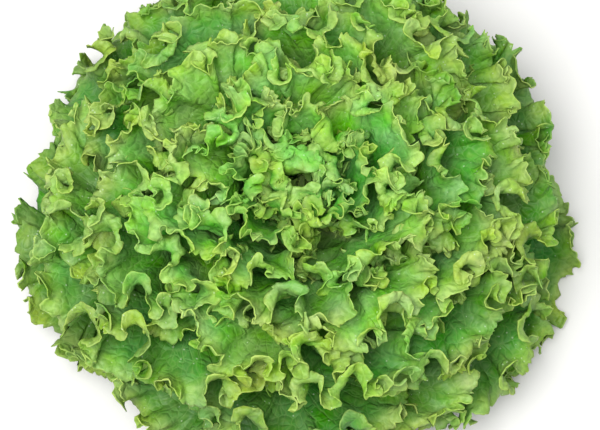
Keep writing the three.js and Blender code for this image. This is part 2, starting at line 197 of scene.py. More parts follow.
class Leaf:
    """The plan of one leaf: where it stands, how large it is and how it is waved."""

    def __init__(self, index, in_heart=False):
        number = index + (LEAF_COUNT if in_heart else 0)
        draw = Random(SEED * 1000 + number * 37 + 11)
        if in_heart:
            self.plan_in_heart(index, draw)
        else:
            self.plan_loose(index, draw)
        self.phases = [draw(0, 2 * math.pi) for _ in range(6)]
        self.petiole = between(PETIOLE_HALF_WIDTH, self.layer)
        self.petiole_thickness = between(PETIOLE_THICKNESS, self.layer)
        self.rim_sides = np.linspace(-1, 1, RIM_STEPS + 1)
        along, across = self.flat(self.rim_sides, 1.0)
        steps = np.hypot(np.diff(along) * LEAF_REACH, np.diff(across))
        self.rim_lengths = np.concatenate([[0], np.cumsum(steps)])
        self.age = 1 - self.layer
        looks = Random(SEED * 1000 + number * 53 + 4001)
        self.curls = [looks(0, 2 * math.pi) for _ in range(10)]
        self.curl = looks(0.85, 1.15)
        self.tint = looks(0, 1)

    def plan_loose(self, index, draw):
        self.layer = layer = TOP_LAYER * (index / (LEAF_COUNT - 1)) ** 0.8
        self.turn = math.radians(GOLDEN_TURN * index + draw(-9, 9))
        self.tip = draw(0.97, 1.05) - 0.04 * layer
        self.half_width = between(HALF_WIDTH, layer**1.6) * draw(0.9, 1.12)
        self.widest = math.radians(between(WIDEST_TURN, layer))
        self.roll = draw(-0.02, 0.02)
        self.sweep = math.radians(draw(-10, 10))
        self.frill_length = between(FRILL_LENGTH, layer) * draw(0.9, 1.12)
        self.swell_length = between(SWELL_LENGTH, layer) * draw(0.85, 1.15)
        self.frill_height = self.ruffle_height = between(FRILL_HEIGHT, layer) * draw(0.85, 1.15)
        self.fold_length = FOLD_SHARE * self.frill_length
        self.ruffle_length = self.frill_length / RUFFLES_PER_FRILL

    def plan_in_heart(self, index, draw):
        tier = index // TIER_LEAVES
        self.layer = between(HEART_LAYERS, tier / (HEART_TIERS - 1))
        self.turn = math.radians(360 * (index % TIER_LEAVES + tier / 2) / TIER_LEAVES + 7 * tier)
        self.tip = draw(0.92, 1)
        self.half_width = HEART_HALF_WIDTH * draw(0.9, 1.1)
        self.widest = math.radians(HEART_WIDEST_TURN)
        self.roll = 0
        self.sweep = 0
        self.frill_length = HEART_FRILL_LENGTH * draw(0.95, 1.2)
        self.swell_length = SWELL_LENGTH[1] * 0.85
        self.frill_height = HEART_FRILL_HEIGHT
        self.ruffle_height = HEART_RUFFLE_HEIGHT
        self.fold_length = HEART_FOLD_LENGTH
        self.ruffle_length = HEART_RUFFLE_LENGTH

    def flat(self, side, out):
        """A point of the flat blade: along, and how far across in millimetres."""
        reach = np.abs(side)
        hand = np.sign(side)
        left = (PETIOLE_END - reach) / (PETIOLE_END - 1)
        blade_side = clamp(side, -1, 1)
        up, sideways = np.cos(blade_side * math.pi), np.abs(np.sin(blade_side * math.pi))
        rim_along = FAN_CENTRE + np.where(
            up > 0, np.maximum(up, 0) ** 0.75 * (self.tip - FAN_CENTRE), up * (FAN_CENTRE - BLADE_START))
        blade = self.half_width * sideways ** np.where(up > 0, 0.8, 1.7)
        rim_across = hand * (blade + self.petiole * (1 - up) / 2)
        rib_along = lerp(BLADE_START, FAN_CENTRE, clamp(1 - reach, 0, 1) ** 0.8)
        on_petiole = reach > 1
        along = np.where(on_petiole, BLADE_START * left, lerp(rib_along, rim_along, out))
        narrow = hand * self.petiole * out * lerp(0.8, 1, left)
        return along, np.where(on_petiole, narrow, rim_across * out)

    def length_at(self, side):
        return np.interp(clamp(side, -1, 1), self.rim_sides, self.rim_lengths)

    def frill_phase(self, length):
        wander = 1.5 * wave(length, 130, self.phases[1]) + wave(length, 51, self.phases[2])
        return phase_at(length, self.frill_length, self.phases[0]) + wander

    def swell_phase(self, length):
        wander = 0.9 * wave(length, 170, self.phases[5])
        return phase_at(length, self.swell_length, self.phases[4]) + wander

    def waves(self, side, out):
        """Heights of the swell and of the frill, and how near a point is to the rim."""
        length = self.length_at(side)
        free = self.frill_height * fading(side, (0.38, 0.7))
        outer = clamp((out - 0.42) / 0.58, 0, 1)
        swell = 0.85 * free * clamp((out - 0.12) / 0.88, 0, 1) ** 1.2
        frill = 0.72 * free * outer**1.35 * (0.85 + 0.35 * wave(length, 87, self.phases[3]))
        return length, swell, frill, outer

    def place(self, along, across, lift):
        """Turn, along and layer of a point that is lifted off its bowl."""
        rolled = self.roll * (across / 60) * smoothstep(along, 0.1, 0.6)
        waved = lift / (between(TIP_SPACING, self.layer) * clamp(along, 0.15, 1.2))
        layer = np.maximum(self.layer + rolled + waved, LAYER_LIMITS[0])
        spread = across / np.maximum(bowl(along, layer)[0], STEM_TOP_RADIUS)
        turn = self.widest * np.tanh(spread / self.widest) + self.sweep * along**2
        return turn, along, layer

    def blade(self, side, out):
        """The blade as the solids have it, before it is lifted off the leaves below."""
        along, across = self.flat(side, out)
        length, swell, frill, outer = self.waves(side, out)
        lift = -swell * np.cos(self.swell_phase(length)) - frill * np.cos(self.frill_phase(length))
        along = along - PULL_IN * np.abs(lift) * outer / LEAF_REACH
        return self.place(along, across, lift)


# The coarse net of a leaf, as the solids have it, whose vertices carry the lifts. On the waved sides it has a
# ray at each quarter of the frill where a loose leaf shows, and elsewhere at each half.
WAVED_SIDE = 0.8
WAVED_STEPS = 2000
SHOWING_SIDE = 0.42
CLOSEST_RAYS = 0.012
FOOT_SIDES = (0.88, 1, PETIOLE_END)
RIB_SIDES = (PETIOLE_END, 1, 0.8, 0.6, 0.42, 0.25, 0.1)
MIDDLE_SIDES = (PETIOLE_END, 1, 0.82, 0.68, 0.56, 0.45, 0.35, 0.25, 0.15, 0.05)


def rim_rays(leaf):
    sides = [lerp(-WAVED_SIDE, WAVED_SIDE, i / WAVED_STEPS) for i in range(WAVED_STEPS + 1)]
    phases = leaf.frill_phase(leaf.length_at(np.array(sides)))
    quarters = np.floor(phases / (math.pi / 2)).astype(int)
    rays = [-side for side in reversed(FOOT_SIDES)]
    for i in range(1, WAVED_STEPS + 1):
        shows = abs(sides[i]) < SHOWING_SIDE and leaf.layer <= TOP_LAYER
        wanted = shows or quarters[i] % 2 == 0
        if quarters[i] != quarters[i - 1] and wanted and sides[i] - rays[-1] > CLOSEST_RAYS:
            rays.append(sides[i])
    return rays + list(FOOT_SIDES)


def band(inner, outer):
    """Triangles between two rows, each a list of (side, vertex) in rising order of side."""
    triangles = []
    i = o = 0
    while i < len(inner) - 1 or o < len(outer) - 1:
        inner_next = inner[i + 1][0] if i < len(inner) - 1 else math.inf
        outer_next = outer[o + 1][0] if o < len(outer) - 1 else math.inf
        if inner_next <= outer_next:
            if inner[i][1] != inner[i + 1][1]:
                triangles.append((inner[i][1], outer[o][1], inner[i + 1][1]))
            i += 1
        else:
            triangles.append((inner[i][1], outer[o][1], outer[o + 1][1]))
            o += 1
    return triangles


def coarse_net(leaf):
    """Sides and outs of the net's vertices, its triangles, and its three rows."""
    right = list(enumerate(RIB_SIDES))
    rib = [(-side, v) for v, side in right] + [(side, v) for v, side in reversed(right)]
    first = len(RIB_SIDES)
    middle_sides = [-side for side in MIDDLE_SIDES] + list(reversed(MIDDLE_SIDES))
    middle = [(side, first + k) for k, side in enumerate(middle_sides)]
    first += len(middle)
    rim = [(side, first + k) for k, side in enumerate(rim_rays(leaf))]
    sides = np.array(list(RIB_SIDES) + middle_sides + [side for side, _ in rim], float)
    outs = np.repeat([0, MIDDLE_OUT, 1], [len(RIB_SIDES), len(middle), len(rim)])
    return sides, outs, np.array(band(rib, middle) + band(middle, rim)), (rib, middle, rim)


# The stack's cells, round the stem and along the leaves, and how finely and how often leaves are tried on it.
TURN_CELLS = 240
ALONG_CELLS = 60
ALONG_END = 1.2
NOTHING = -1.0
ROUNDS = 8
SETTLED = 1e-4
SPOTS_PER_CELL = 1.2
NUDGE = 0.01


def column_of(turn):
    return turn / (2 * math.pi) * TURN_CELLS


def row_of(along):
    return along / ALONG_END * ALONG_CELLS


def cell_of(column, row):
    columns = np.floor(column).astype(int) % TURN_CELLS
    return columns, clamp(np.floor(row).astype(int), 0, ALONG_CELLS - 1)


def place_of(point, along, near_layer):
    """Turn, along and layer of points near the given places, and the room for a millimetre there."""
    layer = clamp(near_layer, LAYER_LIMITS[0], LAYER_LIMITS[1] - NUDGE)
    radius, height = bowl(along, layer)
    run = [(a - b) / NUDGE for a, b in zip(bowl(along + NUDGE, layer), (radius, height))]
    move = [(a - b) / NUDGE for a, b in zip(bowl(along, layer + NUDGE), (radius, height))]
    area = run[0] * move[1] - run[1] * move[0]
    off = [np.hypot(point[:, 0], point[:, 1]) - radius, point[:, 2] - height]
    return (
        np.arctan2(point[:, 1], point[:, 0]),
        along + (off[0] * move[1] - off[1] * move[0]) / area,
        layer + (run[0] * off[1] - run[1] * off[0]) / area,
        np.hypot(*run) / np.abs(area),
    )


def spots_over(turn, along, layer, triangles):
    """Spots over the flat triangles: triangle, shares, turn, along, layer, and room for a millimetre."""
    points = to_space(turn, along, layer)
    columns = column_of(np.ptp(turn[triangles], axis=1))
    rows = row_of(np.ptp(along[triangles], axis=1))
    steps = np.ceil(np.maximum(np.maximum(columns, rows), 1) * SPOTS_PER_CELL).astype(int)
    found = []
    for count in np.unique(steps):
        chosen = np.flatnonzero(steps == count)
        grid = [(a, b, count - a - b) for a in range(count + 1) for b in range(count + 1 - a)]
        shares = np.array(grid) / count
        corners = triangles[chosen]
        spot = np.einsum("sk,tkc->tsc", shares, points[corners])
        near_along = np.einsum("sk,tk->ts", shares, along[corners])
        near_layer = np.einsum("sk,tk->ts", shares, layer[corners])
        found.append((
            np.repeat(chosen, len(shares)),
            np.tile(shares, (len(chosen), 1)),
            *place_of(spot.reshape(-1, 3), near_along.ravel(), near_layer.ravel()),
        ))
    return [np.concatenate(part) for part in zip(*found)]


class Stack:
    """What the leaves so far have taken up: for each direction and place along, the highest layer."""

    def __init__(self):
        self.taken = np.full((TURN_CELLS, ALONG_CELLS), NOTHING)

    def highest_near(self, turn, along, reach):
        highest = np.full(len(turn), NOTHING)
        for shift in range(-int(reach.max()), int(reach.max()) + 1):
            near = abs(shift) <= reach
            for row_shift in (-0.5, 0.5):
                cells = cell_of(column_of(turn) + shift, row_of(along) + row_shift)
                highest = np.where(near, np.maximum(highest, self.taken[cells]), highest)
        return highest

    def lay(self, leaf):
        """Lifts a leaf until it clears those below, marks its room, and keeps its lifts row by row."""
        sides, outs, triangles, rows = coarse_net(leaf)
        turn, along, layer = leaf.blade(sides, outs)
        foot = 1 - smoothstep(along, 0, 0.45)
        thickness = lerp(BLADE_THICKNESS, leaf.petiole_thickness, foot * (1 - 0.6 * outs))
        start = layer.copy()
        for _ in range(ROUNDS):
            lifts = np.zeros(len(sides))
            needed = thickness[triangles].max(1) + LEAF_GAP
            radius = bowl(along, layer)[0][triangles].min(1)
            reach = np.ceil(column_of(SIDE_GAP / radius))
            which, shares, at_turn, at_along, at_layer, room = spots_over(turn, along, layer, triangles)
            floor = self.highest_near(at_turn + leaf.turn, at_along, reach[which])
            short = np.where(floor == NOTHING, 0, floor + needed[which] * room - at_layer)
            pushed = np.maximum(short, 0)[:, None] * shares / (shares**2).sum(1)[:, None]
            np.maximum.at(lifts, triangles[which], pushed)
            if lifts.max() < SETTLED:
                break
            layer = layer + lifts
        _, _, at_turn, at_along, at_layer, _ = spots_over(turn, along, layer, triangles)
        cells = cell_of(column_of(at_turn + leaf.turn), row_of(at_along))
        np.maximum.at(self.taken, cells, at_layer)
        lifted = layer - start
        leaf.lift_rows = [(np.array([s for s, _ in row]), lifted[[v for _, v in row]]) for row in rows]


def all_leaves():
    """Every leaf's plan, laid on the head in the CAD source's order: the loose ones, then the heart's."""
    stack = Stack()
    loose = [Leaf(index) for index in range(LEAF_COUNT)]
    young = [Leaf(index, in_heart=True) for index in range(HEART_TIERS * TIER_LEAVES)]
    for leaf in loose + young:
        stack.lay(leaf)
    return loose, young


def number(name, description, default, low, high, **kind):
    return FloatProperty(name=name, description=description, default=default, min=low, max=high, **kind)


def metres(name, description, default, low, high):
    return number(name, description, default, low, high, unit="LENGTH", precision=5)


def degrees(name, description, default, high):
    return number(name, description, math.radians(default), 0, math.radians(high), subtype="ANGLE")


def colour(name, description, default):
    return FloatVectorProperty(
        name=name, description=description, subtype="COLOR", size=3, min=0, max=1, default=default)


class LettuceShape(bpy.types.PropertyGroup):
    """Sizes of the detail that the scene adds to the solids' leaves."""

    blade_thickness: metres("Blade thickness", "Thickness of a leaf's blade", 0.0005, 0.0003, 0.001)
    midrib_thickness: metres(
        "Midrib thickness", "Thickness of a midrib at the leaf's foot", 0.0026, 0.001, 0.004)
    curl: number("Curl", "How far the frills lean over themselves, as a share of their height", 0.42, 0, 0.7)
    lip_length: FloatVectorProperty(
        name="Lip length", description="Width of the rim that rolls over, on the lowest and innermost leaf",
        size=2, default=(0.015, 0.011), min=0, max=0.03, unit="LENGTH", precision=5)
    lip_roll: degrees("Lip roll", "How far the rim rolls over at each frill, to either side", 75, 180)
    lip_lean: degrees("Lip lean", "How far the whole rim of the lowest leaf rolls outwards", 22, 90)
    fold: number("Fold", "Height of folds between swell and frill, as a share of the frill's", 0.42, 0, 0.8)
    ruffle: number("Ruffle", "Height of the small ruffles, as a share of the frill's", 0.32, 0, 0.6)
    scallop_depth: metres(
        "Scallop depth", "Depth of the notches between the small lobes of the rim", 0.0044, 0, 0.008)
    scallop_spacing: metres(
        "Scallop spacing", "Width of the small lobes along the rim", 0.0125, 0.003, 0.03)
    tooth_length: metres("Tooth length", "Length of the teeth on the rim", 0.0016, 0, 0.006)
    tooth_spacing: metres("Tooth spacing", "Distance between teeth along the rim", 0.005, 0.002, 0.02)


class LettuceColours(bpy.types.PropertyGroup):
    """Colours of the leaves and the stem."""

    # The outer blade's colour is partly the older leaves' own darker green, partly painted shade on the
    # head's outer slopes.
    old_blade_and_painted_shade: colour("Outer blade", "Colour of the blade of an outer leaf", (0.082, 0.26, 0.034))
    young_blade: colour("Young blade", "Colour of the blade of a young leaf", (0.215, 0.545, 0.076))
    # The lip colour is the leaf's own lighter patches near the rim, and on the blisters' tops also a painted
    # highlight.
    lip: colour("Lip", "Colour of the lighter patches near the rim", (0.38, 0.565, 0.115))
    # This colour is the leaf's own darker grain, and towards the midrib also painted shade for the hollows
    # between the frills.
    grain_and_painted_shade: colour("Grain and painted shade", "Colour of the darker grain and of the inner blade", (0.042, 0.17, 0.018))
    # The rim colour is the leaf's own paler yellow-green of the margin and its flecks, and on the very edge
    # also a painted highlight.
    rim: colour("Rim", "Colour of the thin edge of a leaf", (0.58, 0.74, 0.16))
    vein: colour("Vein", "Colour of the midrib and the veins", (0.46, 0.68, 0.22))
    stem: colour("Stem", "Colour of the stem's skin", (0.66, 0.72, 0.42))
    cut: colour("Cut", "Colour of the cut face of the stem", (0.78, 0.76, 0.58))


class LettuceStage(bpy.types.PropertyGroup):
    """The floor, the lights and the camera."""

    floor: colour("Floor", "Colour of the floor", (0.72, 0.71, 0.69))
    key_power: number("Key light", "Power of the main soft light", 26.5, 0, 200, unit="POWER")
    camera_elevation: degrees("Camera elevation", "Angle of the camera above the horizon", 75, 90)
    camera_distance: metres("Camera distance", "Distance of the camera from the head", 0.95, 0.3, 5)


# The template sheets: grids of rays and rows, finer towards the rim. Rays run over side, rows over out. Most
# rays, the showing share, stand on the sides up to the showing end.
LOOSE_RAYS = 90
YOUNG_RAYS = 64
SHEET_ROWS = (0, 0.06, 0.16, 0.3, 0.46, 0.6, 0.71, 0.8, 0.87, 0.92, 0.955, 0.98, 1)
FINER_FROM = (0.46, 0.71, 0.92)
SHOWING_SHARE = 0.9
SHOWING_END = 0.76
EVENNESS = 0.8
SAME_ROW = 1e-5
SAME_POINT = 1e-6


def leaf_sheet(rays):
    """The flat sheet that a leaf starts from, with side and out as its x and y."""
    sheet = bmesh.new()
    rows = len(SHEET_ROWS) - 1
    bmesh.ops.create_grid(sheet, x_segments=rays, y_segments=rows, size=1)
    for vertex in sheet.verts:
        reach = abs(vertex.co.x)
        if reach < SHOWING_SHARE:
            side = reach / SHOWING_SHARE * SHOWING_END
        else:
            side = lerp(SHOWING_END, PETIOLE_END, (reach - SHOWING_SHARE) / (1 - SHOWING_SHARE))
        vertex.co.x = math.copysign(side, vertex.co.x)
        vertex.co.y = SHEET_ROWS[round((vertex.co.y + 1) / 2 * rows)]
    for start in FINER_FROM:
        across = [
            edge for edge in sheet.edges
            if all(vertex.co.y > start - SAME_ROW for vertex in edge.verts)
            and abs(edge.verts[0].co.y - edge.verts[1].co.y) < SAME_ROW
        ]
        bmesh.ops.subdivide_edges(sheet, edges=across, cuts=1)
    rib = [vertex for vertex in sheet.verts if vertex.co.y < SAME_ROW]
    for vertex in rib:
        vertex.co.x = abs(vertex.co.x)
    bmesh.ops.remove_doubles(sheet, verts=rib, dist=SAME_POINT)
    return finished_mesh("leaf_sheet", sheet)


def finished_mesh(name, modelled):
    """The mesh of a finished bmesh."""
    mesh = bpy.data.meshes.new(name)
    modelled.to_mesh(mesh)
    modelled.free()
    return mesh


def shade_smooth(mesh):
    mesh.polygons.foreach_set("use_smooth", np.ones(len(mesh.polygons), bool))


def curve_through(place, places, values):
    """Values at the given places, on a smooth curve through those that are known."""
    spot = np.interp(place, places, np.arange(len(places)))
    at = clamp(np.floor(spot).astype(int), 0, len(places) - 2)
    share = spot - at
    known = np.concatenate([values[:1], values, values[-1:]])
    before, start, end, after = (known[at + step] for step in range(4))
    bend = 2 * before - 5 * start + 4 * end - after + share * (3 * (start - end) + after - before)
    return start + 0.5 * share * (end - before + share * bend)


def row_lifts(leaf, side, out):
    """How far a point is lifted off the leaves below, between the rows of the solids' net."""
    at_rib, at_middle, at_rim = (curve_through(side, sides, lifts) for sides, lifts in leaf.lift_rows)
    rows = out / MIDDLE_OUT
    inner = lerp(at_rib, at_middle, clamp(rows, 0, 1))
    return np.where(rows < 1, inner, lerp(at_middle, at_rim, clamp(rows - 1, 0, 1)))


# Sides over which folds and teeth, and rolls, ruffles and lobes, fade out towards the leaf's foot.
FOLD_SIDES = (0.6, 0.95)
FREE_SIDES = (0.62, 0.97)
# How far swells, folds and ruffles lean over themselves, as a share of their height.
SWELL_SLIDE = 0.4
FOLD_SLIDE = 0.3
RUFFLE_SLIDE = 0.3


def curled_blade(leaf, side, out, shape):
    """The blade with its frills leaning over themselves, in space, in millimetres."""
    along, across = leaf.flat(side, out)
    nudge = 1e-3
    ahead = leaf.flat(clamp(side + nudge, -1, 1), 1.0)
    behind = leaf.flat(clamp(side - nudge, -1, 1), 1.0)
    run = np.stack([(ahead[0] - behind[0]) * LEAF_REACH, ahead[1] - behind[1]])
    run = run / np.maximum(np.hypot(*run), 1e-9)
    length, swell, frill, outer = leaf.waves(side, out)
    curls = leaf.curls
    fold = shape.fold * leaf.ruffle_height * clamp((out - 0.3) / 0.5, 0, 1) ** 1.2
    fold = fold * fading(side, FOLD_SIDES) * (0.7 + 0.5 * wave(length, 64, curls[9]))
    fold_phase = phase_at(length, leaf.fold_length, curls[2]) + 1.2 * wave(length, 91, curls[3])
    waves = (
        (swell, leaf.swell_phase(length), SWELL_SLIDE),
        (frill * outer**0.8, leaf.frill_phase(length), shape.curl * leaf.curl),
        (fold, fold_phase, FOLD_SLIDE),
    )
    lift = slide = 0
    for height, phase, lean in waves:
        lift = lift - height * np.cos(phase)
        slide = slide + lean * height * np.sin(2 * phase)
    along = along + slide * run[0] / LEAF_REACH - PULL_IN * np.abs(lift) * outer / LEAF_REACH
    across = across + slide * run[1]
    turn, along, layer = leaf.place(along, across, lift)
    return to_space(turn, along, np.maximum(layer + row_lifts(leaf, side, out), LAYER_LIMITS[0]))


# The lowest leaves' rims lean outwards. Over the first layers here the rims turn inwards, and over the second
# they close over the heart with a wider lip that rolls less. Both turns are in shares of the lean.
TURNING_LAYERS = (0.1, 0.65)
TURNED_LEAN = 1.7
CLOSING_LAYERS = (0.88, 0.97)
CLOSED_LEAN = 3.1
CLOSED_LIP = 16
CLOSED_ROLL = 0.65
ROLL_STEPS = 8
RUN_STEPS = 1200
# Blades this near the floor are pressed together, and none comes nearer than the clearance, in millimetres.
FLOOR_REACH = 5
FLOOR_CLEARANCE = 0.4


def unit(vectors):
    return vectors / np.maximum(np.linalg.norm(vectors, axis=-1, keepdims=True), 1e-9)


def rolled(angle, share):
    """How far off and ahead a strip gets that rolls up towards its end, as shares of its length."""
    aside = ahead = 0
    for step in range(ROLL_STEPS):
        bend = angle * (share * (step + 0.5) / ROLL_STEPS) ** 1.2
        aside = aside + np.sin(bend) * share / ROLL_STEPS
        ahead = ahead + (np.cos(bend) - 1) * share / ROLL_STEPS
    return aside, ahead


def frame_on(surface, side, out):
    """Unit directions on a surface of side and out: along the rim, towards the rim, and off the face."""
    step = 2e-3
    along_rim = unit(surface(side + step, out) - surface(side - step, out))
    outwards = unit(surface(side, np.minimum(out + step, 1)) - surface(side, np.maximum(out - step, 0)))
    return along_rim, outwards, unit(np.cross(outwards, along_rim))


def rolled_blade(leaf, side, out, shape):
    """The curled blade with its rim rolled over at each frill, how far in the roll it is, and its frame."""
    def surface(any_side, any_out):
        return curled_blade(leaf, any_side, any_out, shape)

    along_rim, outwards, normal = frame_on(surface, side, out)
    length = leaf.length_at(side)
    closing = smoothstep(leaf.layer, *CLOSING_LAYERS)
    lip = lerp(between(shape.lip_length, leaf.layer) / MM, CLOSED_LIP, closing)
    lip = lip * (0.85 + 0.3 * wave(length, 53, leaf.curls[8]))
    rib, rim = leaf.flat(side, 0.0), leaf.flat(side, 1.0)
    ray = np.hypot((rim[0] - rib[0]) * LEAF_REACH, rim[1] - rib[1])
    in_lip = clamp(1 - (1 - out) * ray / lip, 0, 1)
    turning = smoothstep(leaf.layer, *TURNING_LAYERS)
    lean = shape.lip_lean * (1 - TURNED_LEAN * turning - CLOSED_LEAN * closing)
    crests = 0.8 * np.cos(leaf.frill_phase(length)) + 0.35 * np.cos(leaf.swell_phase(length))
    roll = (-shape.lip_roll * crests * (1 - CLOSED_ROLL * closing**2) - lean) * fading(side, FREE_SIDES)
    roll = roll * (0.8 + 0.4 * wave(length, 71, leaf.curls[0]))
    aside, ahead = rolled(roll, in_lip)
    point = surface(side, out) + (lip * aside)[:, None] * normal + (lip * ahead)[:, None] * outwards
    return point, in_lip, (along_rim, outwards, normal)


def run_along_rim(leaf, side, shape):
    """Lengths along the curled rim in space, in millimetres."""
    sides = np.linspace(-1, 1, RUN_STEPS + 1)
    rim = rolled_blade(leaf, sides, np.ones_like(sides), shape)[0]
    steps = np.linalg.norm(np.diff(rim, axis=0), axis=1)
    return np.interp(side, sides, np.concatenate([[0], np.cumsum(steps)]))


def even_sides(leaf, side, shape):
    """Sides moved so that the sheet's rays stand more evenly along the curled rim."""
    sides = np.linspace(-SHOWING_END, SHOWING_END, RUN_STEPS + 1)
    run = run_along_rim(leaf, sides, shape)
    even = np.interp(np.linspace(run[0], run[-1], len(run)), run, sides)
    moved = np.interp(side, sides, lerp(sides, even, EVENNESS))
    return np.where(np.abs(side) < SHOWING_END, moved, side)


def fine_blade(leaf, side, out, shape):
    """The finished blade: small ruffles stand on the rolled rim, and teeth and notches are cut along it."""
    point, in_lip, (along_rim, outwards, normal) = rolled_blade(leaf, side, out, shape)
    length = leaf.length_at(side)
    run = run_along_rim(leaf, side, shape)
    free = fading(side, FREE_SIDES)
    curls = leaf.curls

    ruffle_phase = phase_at(length, leaf.ruffle_length, curls[1]) + 1.6 * wave(length, 43, curls[2])
    ruffle = shape.ruffle * leaf.ruffle_height * free * in_lip**1.3 * (0.6 + 0.6 * wave(length, 37, curls[3]))
    point = point - normal * (ruffle * np.cos(ruffle_phase))[:, None]
    point = point + along_rim * (RUFFLE_SLIDE * ruffle * np.sin(2 * ruffle_phase))[:, None]

    tooth_phase = 2 * run / (shape.tooth_spacing / MM) + 0.9 * np.sin(run / 9 + curls[6])
    tooth = 0.5 * np.cos(math.pi * tooth_phase) * (0.7 + 0.5 * wave(run, 31, curls[7]))
    tooth = tooth * shape.tooth_length / MM
    cut = tooth * smoothstep(out, 0.925, 1) * fading(side, FOLD_SIDES)
    lobes = np.abs(np.sin(math.pi * run / (shape.scallop_spacing / MM) + 1.3 * wave(run, 73, curls[5])))
    scallop = (lobes**0.5 - 0.76) * (0.8 + 0.5 * wave(run, 47, curls[4])) * shape.scallop_depth / MM
    notch = (1.4 * wave(run, 41, curls[9]) * wave(run, 67, curls[4]) + scallop) * in_lip**2
    point = point + outwards * (cut + notch * free)[:, None]
    return off_floor(point + free[:, None] * blisters(point, leaf))


def off_floor(point):
    """Low points eased up, so that the blade lies on the floor instead of passing through it."""
    soft = FLOOR_REACH - FLOOR_CLEARANCE
    pressed = FLOOR_CLEARANCE + soft * np.exp(np.minimum(point[:, 2] - FLOOR_REACH, 0) / soft)
    point[:, 2] = np.where(point[:, 2] < FLOOR_REACH, pressed, point[:, 2])
    return point


# Height and length of each kind of blister, in millimetres, and which of the leaf's phases it starts from.
BLISTERS = ((1.1, 34, 1), (0.75, 17, 2), (0.42, 8, 3))


def blisters(point, leaf):
    """Uneven swelling of the blade, from waves through space."""
    shift = np.zeros_like(point)
    for size, length, seed in BLISTERS:
        for axis in range(3):
            here, after, last = (point[:, (axis + step) % 3] for step in range(3))
            turned = after * 1.3 - last * 0.8 + here * 0.4
            other = here + after * 0.7
            start = leaf.curls[seed] + axis * 2.1
            across = np.cos(phase_at(other, length, start * 1.7))
            shift[:, axis] += size * wave(turned, length, start) * across
    return shift


# Millimetres of rim to one unit of the blade map.
MAP_UNIT = 400


def leaf_mesh(leaf, sheet, shape, name):
    """A copy of the sheet, bent into one leaf."""
    flat = np.zeros((len(sheet.vertices), 3))
    sheet.vertices.foreach_get("co", flat.ravel())
    side, out = even_sides(leaf, flat[:, 0], shape), flat[:, 1]
    points = fine_blade(leaf, side, out, shape)
    turned = points.copy()
    turned[:, 0] = points[:, 0] * math.cos(leaf.turn) - points[:, 1] * math.sin(leaf.turn)
    turned[:, 1] = points[:, 0] * math.sin(leaf.turn) + points[:, 1] * math.cos(leaf.turn)
    mesh = sheet.copy()
    mesh.name = name
    mesh.vertices.foreach_set("co", (turned * MM).ravel())
    shade_smooth(mesh)
    along, across = leaf.flat(side, out)
    same = np.ones(len(out))
    given = {"out": out, "age": same * leaf.age, "tint": same * leaf.tint, "along": along, "across": across}
    for label, values in given.items():
        attribute = mesh.attributes.new(label, "FLOAT", "POINT")
        attribute.data.foreach_set("value", np.asarray(values, np.float32))
    blade_map(mesh, leaf.length_at(side) / MAP_UNIT, out)
    return mesh


def blade_map(mesh, u, v):
    """A UV map that follows the blade: round the rim, and from midrib to rim."""
    corners = np.zeros(len(mesh.loops), int)
    mesh.loops.foreach_get("vertex_index", corners)
    layer = mesh.uv_layers.new(name="blade")
    layer.data.foreach_set("uv", np.stack([u[corners], v[corners]], -1).ravel())


# Width of the midrib's ridge in millimetres, and how fast it thins out along the leaf.
RIDGE_WIDTH = 4
RIDGE_FADE = 1.3


def thicken(piece, shape):
    """Gives a leaf its thickness, with a thick midrib that thins out towards the tip."""
    mesh = piece.data
    values = {}
    for name in ("along", "across"):
        values[name] = np.zeros(len(mesh.vertices))
        mesh.attributes[name].data.foreach_get("value", values[name])
    ridge = np.exp(-((values["across"] / RIDGE_WIDTH) ** 2))
    ridge = ridge * clamp(1 - values["along"] * RIDGE_FADE, 0, 1) ** 1.2
    thickness = lerp(shape.blade_thickness, shape.midrib_thickness, ridge)
    shares = np.round(thickness / shape.midrib_thickness, 2)
    group = piece.vertex_groups.new(name="thickness")
    for share in np.unique(shares):
        group.add(np.flatnonzero(shares == share).tolist(), float(share), "REPLACE")
    solidify = piece.modifiers.new("Thickness", "SOLIDIFY")
    solidify.thickness = shape.midrib_thickness
    solidify.offset = 0
    solidify.vertex_group = "thickness"


def placed(name, data):
    """A new object in the scene."""
    thing = bpy.data.objects.new(name, data)
    bpy.context.scene.collection.objects.link(thing)
    return thing


def add_piece(name, mesh, material, node):
    """Puts a finished mesh in the scene as the piece that stands for a CAD node."""
    piece = placed(name, mesh)
    mesh.materials.clear()
    mesh.materials.append(material)
    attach(piece, "root")
    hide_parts(node)
    return piece


